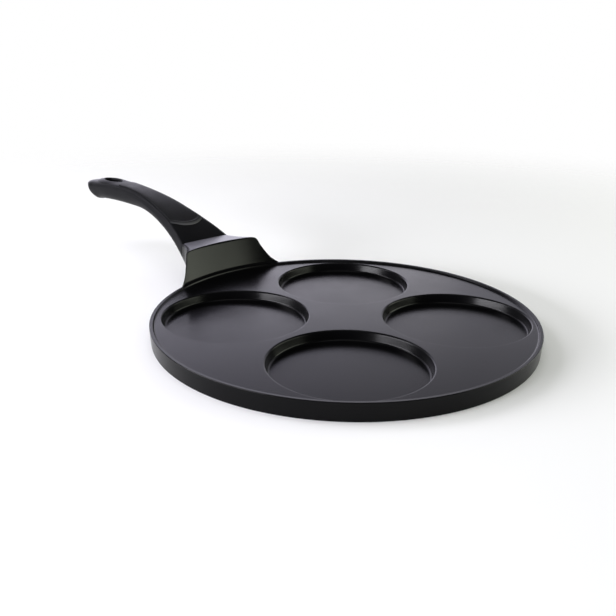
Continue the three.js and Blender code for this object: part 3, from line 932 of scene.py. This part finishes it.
def washer_profile(outer, low, high):
    """A washer's section with its edges broken, as a closed profile."""
    wide, narrow = outer - WASHER_EDGE, bore_radius + WASHER_EDGE
    over, under = low + WASHER_EDGE, high - WASHER_EDGE
    return [
        (narrow, low), (wide, low), (outer, over), (outer, under),
        (wide, high), (narrow, high), (bore_radius, under), (bore_radius, over),
    ]


flat_profile = washer_profile(FLAT_WASHER_RADIUS, flat_washer_bottom, flat_washer_top)
plain_washer = turned("plain_washer", flat_profile, screw_frame, joined=True)
profile = washer_profile(SPRING_WASHER_RADIUS, spring_washer_bottom, spring_washer_top)
split_sections = []
for turn in np.linspace(SPLIT / 2, 2 * math.pi - SPLIT / 2, ROUND_SEGMENTS):
    split_sections.append([(r * math.cos(turn), r * math.sin(turn), z) for r, z in profile])
split_washer = skin("split_washer", split_sections)
split_washer.data.transform(screw_frame)
weld(split_washer)

ZINC_DARK = (0.42, 0.43, 0.45, 1)
ZINC_LIGHT = (0.60, 0.61, 0.62, 1)
ZINC_ROUGHNESS = (0.22, 0.38)
ZINC_GRAIN = (4200, 240)
ZINC_RELIEF = (0.2, 0.00002)

zinc_steel, tree, shader = material("zinc_steel")
grain, mottle = grained(tree, *ZINC_GRAIN)
colour = mixed(tree, mottle, ZINC_DARK, ZINC_LIGHT)
rough = ramp(tree, mottle, *MOTTLE_RANGE, *ZINC_ROUGHNESS)
link_finish(tree, shader, colour, rough, grain, *ZINC_RELIEF)
shader.inputs["Metallic"].default_value = 1.0

fasteners = ((screw, "handle_screw"), (split_washer, "spring_washer"), (plain_washer, "flat_washer"))
for piece, replaced in fasteners:
    smooth(piece)
    piece.data.materials.clear()
    piece.data.materials.append(zinc_steel)
    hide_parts(replaced)
    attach(piece, "root")


# Studio
# A pale floor that fades into a white surround, bright behind the pan, and five soft boxes: a low window
# light at the left front, a smaller one high on the left, a greenish one on the right, and one each above
# and behind the pan.

CAMERA_PLACE = Vector((-0.3207, 0.3468, 0.1902))
CAMERA_AIM = Vector((0.6721, -0.6543, -0.3467))
CAMERA_ROLL = math.radians(0.6879)
CAMERA_LENS = 43.395
SENSOR = 36.0
CLIP_START = 0.01

camera_data = bpy.data.cameras.new("camera")
camera_data.sensor_width = SENSOR
camera_data.sensor_height = SENSOR
camera_data.lens = CAMERA_LENS
camera_data.clip_start = CLIP_START
camera = bpy.data.objects.new("camera", camera_data)
camera.location = CAMERA_PLACE
camera.rotation_mode = "QUATERNION"
camera.rotation_quaternion = CAMERA_AIM.to_track_quat("-Z", "Y") @ Quaternion((0, 0, 1), CAMERA_ROLL)
bpy.context.scene.collection.objects.link(camera)
bpy.context.scene.camera = camera

view_out = Vector((CAMERA_AIM.x, CAMERA_AIM.y, 0)).normalized()
view_right = Vector((view_out.y, -view_out.x, 0))


def soft_box(name, side, away, height, width, depth, power, colour):
    """A soft box to the right of, behind and above the pan as the camera sees it, aimed at the pan."""
    data = bpy.data.lights.new(name, "AREA")
    data.shape = "RECTANGLE"
    data.size = width
    data.size_y = depth
    data.energy = power
    data.color = colour
    lamp = bpy.data.objects.new(name, data)
    lamp.location = view_right * side + view_out * away + Vector((0, 0, height))
    lamp.rotation_mode = "QUATERNION"
    lamp.rotation_quaternion = (-lamp.location).to_track_quat("-Z", "Y")
    lamp.visible_camera = False
    bpy.context.scene.collection.objects.link(lamp)


soft_box(
    "top_box", side=0.0, away=-0.1, height=1.5, width=1.0, depth=0.8, power=3.0, colour=(1.0, 1.0, 1.0),
)
soft_box(
    "left_box", side=-1.15, away=0.35, height=0.95, width=0.6, depth=0.6, power=7.0,
    colour=(0.94, 0.93, 1.0),
)
soft_box(
    "window_box", side=-1.15, away=-0.5, height=0.23, width=1.25, depth=0.36, power=40.0,
    colour=(0.95, 0.94, 1.0),
)
soft_box(
    "right_box", side=1.28, away=0.05, height=0.28, width=1.35, depth=0.55, power=13.5,
    colour=(0.95, 1.0, 0.84),
)
soft_box(
    "back_box", side=-0.7, away=1.8, height=0.45, width=2.6, depth=0.7, power=5.5, colour=(1.0, 0.98, 1.0),
)

FLOOR_SIZE = 2.4
FLOOR_NEAR = 0.35
FLOOR_FAR = 0.95
FLOOR_COLOUR = (0.9, 0.9, 0.9, 1)
FLOOR_ROUGHNESS = 0.9

floor_mesh = bpy.data.meshes.new("floor")
half = FLOOR_SIZE / 2
floor_mesh.from_pydata([(x * half, y * half, 0) for x, y in corners], [], [(0, 1, 2, 3)])
floor = bpy.data.objects.new("floor", floor_mesh)
bpy.context.scene.collection.objects.link(floor)
floor_finish, tree, shader = material("floor_paper")
shader.inputs["Base Color"].default_value = FLOOR_COLOUR
shader.inputs["Roughness"].default_value = FLOOR_ROUGHNESS
shader.inputs["Specular IOR Level"].default_value = 0.0

place = node(tree, "ShaderNodeTexCoord").outputs["Object"]
away = node(tree, "ShaderNodeVectorMath", {0: place}, operation="LENGTH").outputs["Value"]
far = ramp(tree, away, FLOOR_NEAR, FLOOR_FAR, run="SMOOTHSTEP")
clear = node(tree, "ShaderNodeBsdfTransparent")
paper = node(tree, "ShaderNodeMixShader", {0: far, 1: shader.outputs[0], 2: clear.outputs[0]})
tree.links.new(paper.outputs[0], tree.nodes["Material Output"].inputs["Surface"])
floor_mesh.materials.append(floor_finish)

COOL_WHITE = (1.66, 1.61, 2.02, 1)
PLAIN_WHITE = (1.22, 1.20, 1.36, 1)
DIM = (0.08, 0.08, 0.083, 1)
FILL = (0.33, 0.33, 0.335, 1)
WHITE = (1, 1, 1, 1)
SURROUND_LOW = 0.36
SURROUND_HIGH = 0.66
BEHIND_FROM = 0.55
BEHIND_TO = 0.85
COOL_TO = -0.25
PLAIN_FROM = 0.3

world = bpy.data.worlds.new("studio")
bpy.context.scene.world = world
world.use_nodes = True
tree = world.node_tree
background = tree.nodes["Background"]
ray = node(tree, "ShaderNodeTexCoord").outputs["Generated"]
upward = node(tree, "ShaderNodeSeparateXYZ", {"Vector": ray}).outputs["Z"]


def towards(direction):
    """How far a ray from the pan goes towards a direction, from -1 to 1."""
    sides = {0: ray, 1: direction}
    return node(tree, "ShaderNodeVectorMath", sides, operation="DOT_PRODUCT").outputs["Value"]


behind = ramp(tree, towards(view_out), BEHIND_FROM, BEHIND_TO, run="SMOOTHSTEP")
beside = ramp(tree, towards(view_right), COOL_TO, PLAIN_FROM, run="SMOOTHSTEP")
overhead = ramp(tree, upward, SURROUND_LOW, SURROUND_HIGH, run="SMOOTHSTEP")
lit = worked(tree, "MULTIPLY", worked(tree, "SUBTRACT", 1.0, overhead), behind)
studio = mixed(tree, lit, DIM, mixed(tree, beside, COOL_WHITE, PLAIN_WHITE))
rays = node(tree, "ShaderNodeLightPath").outputs
seen = worked(tree, "MAXIMUM", rays["Is Camera Ray"], rays["Is Glossy Ray"])
seen = worked(tree, "MAXIMUM", seen, rays["Is Transmission Ray"])
shown = mixed(tree, rays["Is Camera Ray"], mixed(tree, seen, FILL, studio), WHITE)
tree.links.new(shown, background.inputs["Color"])
background.inputs["Strength"].default_value = 1.0

bpy.context.scene.view_settings.view_transform = "Standard"
